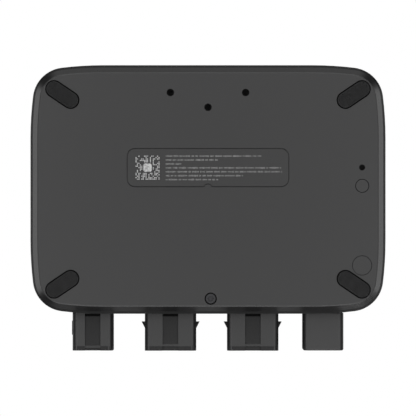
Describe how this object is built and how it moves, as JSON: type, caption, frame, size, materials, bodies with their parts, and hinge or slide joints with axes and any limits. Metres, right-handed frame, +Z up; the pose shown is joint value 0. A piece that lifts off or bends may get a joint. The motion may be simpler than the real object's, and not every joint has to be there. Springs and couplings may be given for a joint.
{
  "type": "vehicle battery charger",
  "caption": "Flat vehicle battery charger (DC to DC) with a dark plastic case on rubber feet, plug ports along one edge, cooling fans and a push button.",
  "frame": {"origin": "on the floor under the middle of the whole outline, feet down", "axes": "+Z up, ports towards -Y, the case's long side along X"},
  "size_m": [0.3, 0.2418, 0.07],
  "materials": {
    "case_plastic": "fine satin texture",
    "port_plastic": "fine satin texture",
    "cap_plastic": "matt",
    "label_plastic": "satin with light grey print",
    "foot_rubber": "matt",
    "seal_rubber": "matt",
    "button_plastic": "satin",
    "light_plastic": "frosted clear",
    "screw_steel": "black oxide",
    "zinc_steel": "zinc plated",
    "spring_steel": "drawn",
    "insert_steel": "black oxide",
    "contact_brass": "plated",
    "copper_bar": "tinned copper",
    "winding_copper": "enamelled wire",
    "sink_aluminium": "extruded",
    "can_aluminium": "sleeved",
    "ferrite": "fired",
    "board_laminate": "solder mask",
    "chip_plastic": "moulded",
    "pad_silicone": "soft",
    "fan_plastic": "moulded",
    "shield_steel": "tinned"
  },
  "bodies": {
    "case": {"bottom_shell": "case_plastic", "top_shell": "case_plastic", "case_seal": "seal_rubber", "info_label": "label_plastic", "vent_plug": "case_plastic", "foot_front_left": "foot_rubber", "foot_front_right": "foot_rubber", "foot_rear_left": "foot_rubber", "foot_rear_right": "foot_rubber", "case_screws": "zinc_steel", "bracket_inserts": "insert_steel", "socket_screw": "screw_steel", "signal_header": "port_plastic", "power_header_left": "port_plastic", "power_header_right": "port_plastic", "accessory_header": "port_plastic", "signal_pins": "contact_brass", "accessory_pins": "contact_brass", "power_contacts_left": "contact_brass", "power_contacts_right": "contact_brass", "signal_seal": "seal_rubber", "accessory_seal": "seal_rubber", "power_seal_left": "seal_rubber", "power_seal_right": "seal_rubber", "port_screws": "zinc_steel", "bus_bars_left": "copper_bar", "bus_bars_right": "copper_bar", "button_switch": "chip_plastic", "button_board": "board_laminate", "status_led": "light_plastic", "light_pipe": "light_plastic", "intake_grille": "case_plastic", "exhaust_grille": "case_plastic", "fan_frame_rear": "fan_plastic", "fan_frame_front": "fan_plastic", "fan_screws": "zinc_steel", "heatsink": "sink_aluminium", "heatsink_posts": "zinc_steel", "power_transistors": "chip_plastic", "thermal_pads": "pad_silicone", "main_board": "board_laminate", "board_screws": "zinc_steel", "transformer_core": "ferrite", "transformer_winding": "winding_copper", "choke_core": "ferrite", "choke_winding": "winding_copper", "capacitors": "can_aluminium", "fuse_holder": "chip_plastic", "main_fuse": "shield_steel", "current_shunt": "copper_bar", "control_spacers": "zinc_steel", "control_board": "board_laminate", "radio_module": "shield_steel"},
    "rear_fan": {"fan_rotor_rear": "fan_plastic"},
    "front_fan": {"fan_rotor_front": "fan_plastic"},
    "button": {"power_button": "button_plastic", "button_spring": "spring_steel"},
    "cap": {"dust_cap": "cap_plastic"}
  },
  "joints": [
    {"name": "rear_fan_spin", "type": "hinge", "parent": "case", "child": "rear_fan", "pos_m": [0.13, 0.0454, 0.04], "axis": [1, 0, 0], "continuous": true},
    {"name": "front_fan_spin", "type": "hinge", "parent": "case", "child": "front_fan", "pos_m": [0.13, -0.0016, 0.04], "axis": [1, 0, 0], "continuous": true},
    {"name": "power_button_press", "type": "slide", "parent": "case", "child": "button", "axis": [0, 1, 0], "range_m": [0, 0.0012], "stiffness_N_per_m": 800, "springref_m": -0.0005},
    {"name": "dust_cap_pull", "type": "slide", "parent": "case", "child": "cap", "axis": [0, -1, 0], "range_m": [0, 0.034]}
  ]
}
